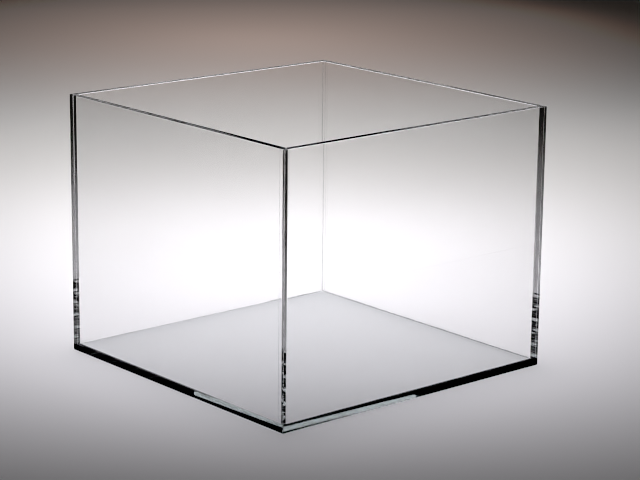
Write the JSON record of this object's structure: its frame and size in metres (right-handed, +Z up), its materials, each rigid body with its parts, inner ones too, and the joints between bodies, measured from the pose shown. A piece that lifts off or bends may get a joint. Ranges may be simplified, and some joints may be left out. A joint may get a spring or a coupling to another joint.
{
  "type": "acrylic display cube",
  "caption": "Clear open-top display box of flat sheet panels, cemented edge to face, square in plan and lower than it is wide.",
  "frame": {"origin": "centre of the underside of the base panel, on the surface the box stands on", "axes": "+Z up through the open top, -Y towards the front wall, +X towards the right wall"},
  "size_m": [0.3, 0.3, 0.238],
  "materials": {
    "clear_sheet": "clear colourless cast acrylic sheet, factory gloss faces, edges cut square, scraped and polished",
    "cement": "set acrylic cement, clear with a trace of haze, small hollow fillet on the inside"
  },
  "bodies": {
    "root": {"base_panel": "clear_sheet", "front_wall": "clear_sheet", "back_wall": "clear_sheet", "left_wall": "clear_sheet", "right_wall": "clear_sheet", "corner_seam_front_left": "cement", "corner_seam_front_right": "cement", "corner_seam_back_left": "cement", "corner_seam_back_right": "cement", "base_seam_front": "cement", "base_seam_back": "cement", "base_seam_left": "cement", "base_seam_right": "cement"}
  },
  "joints": []
}
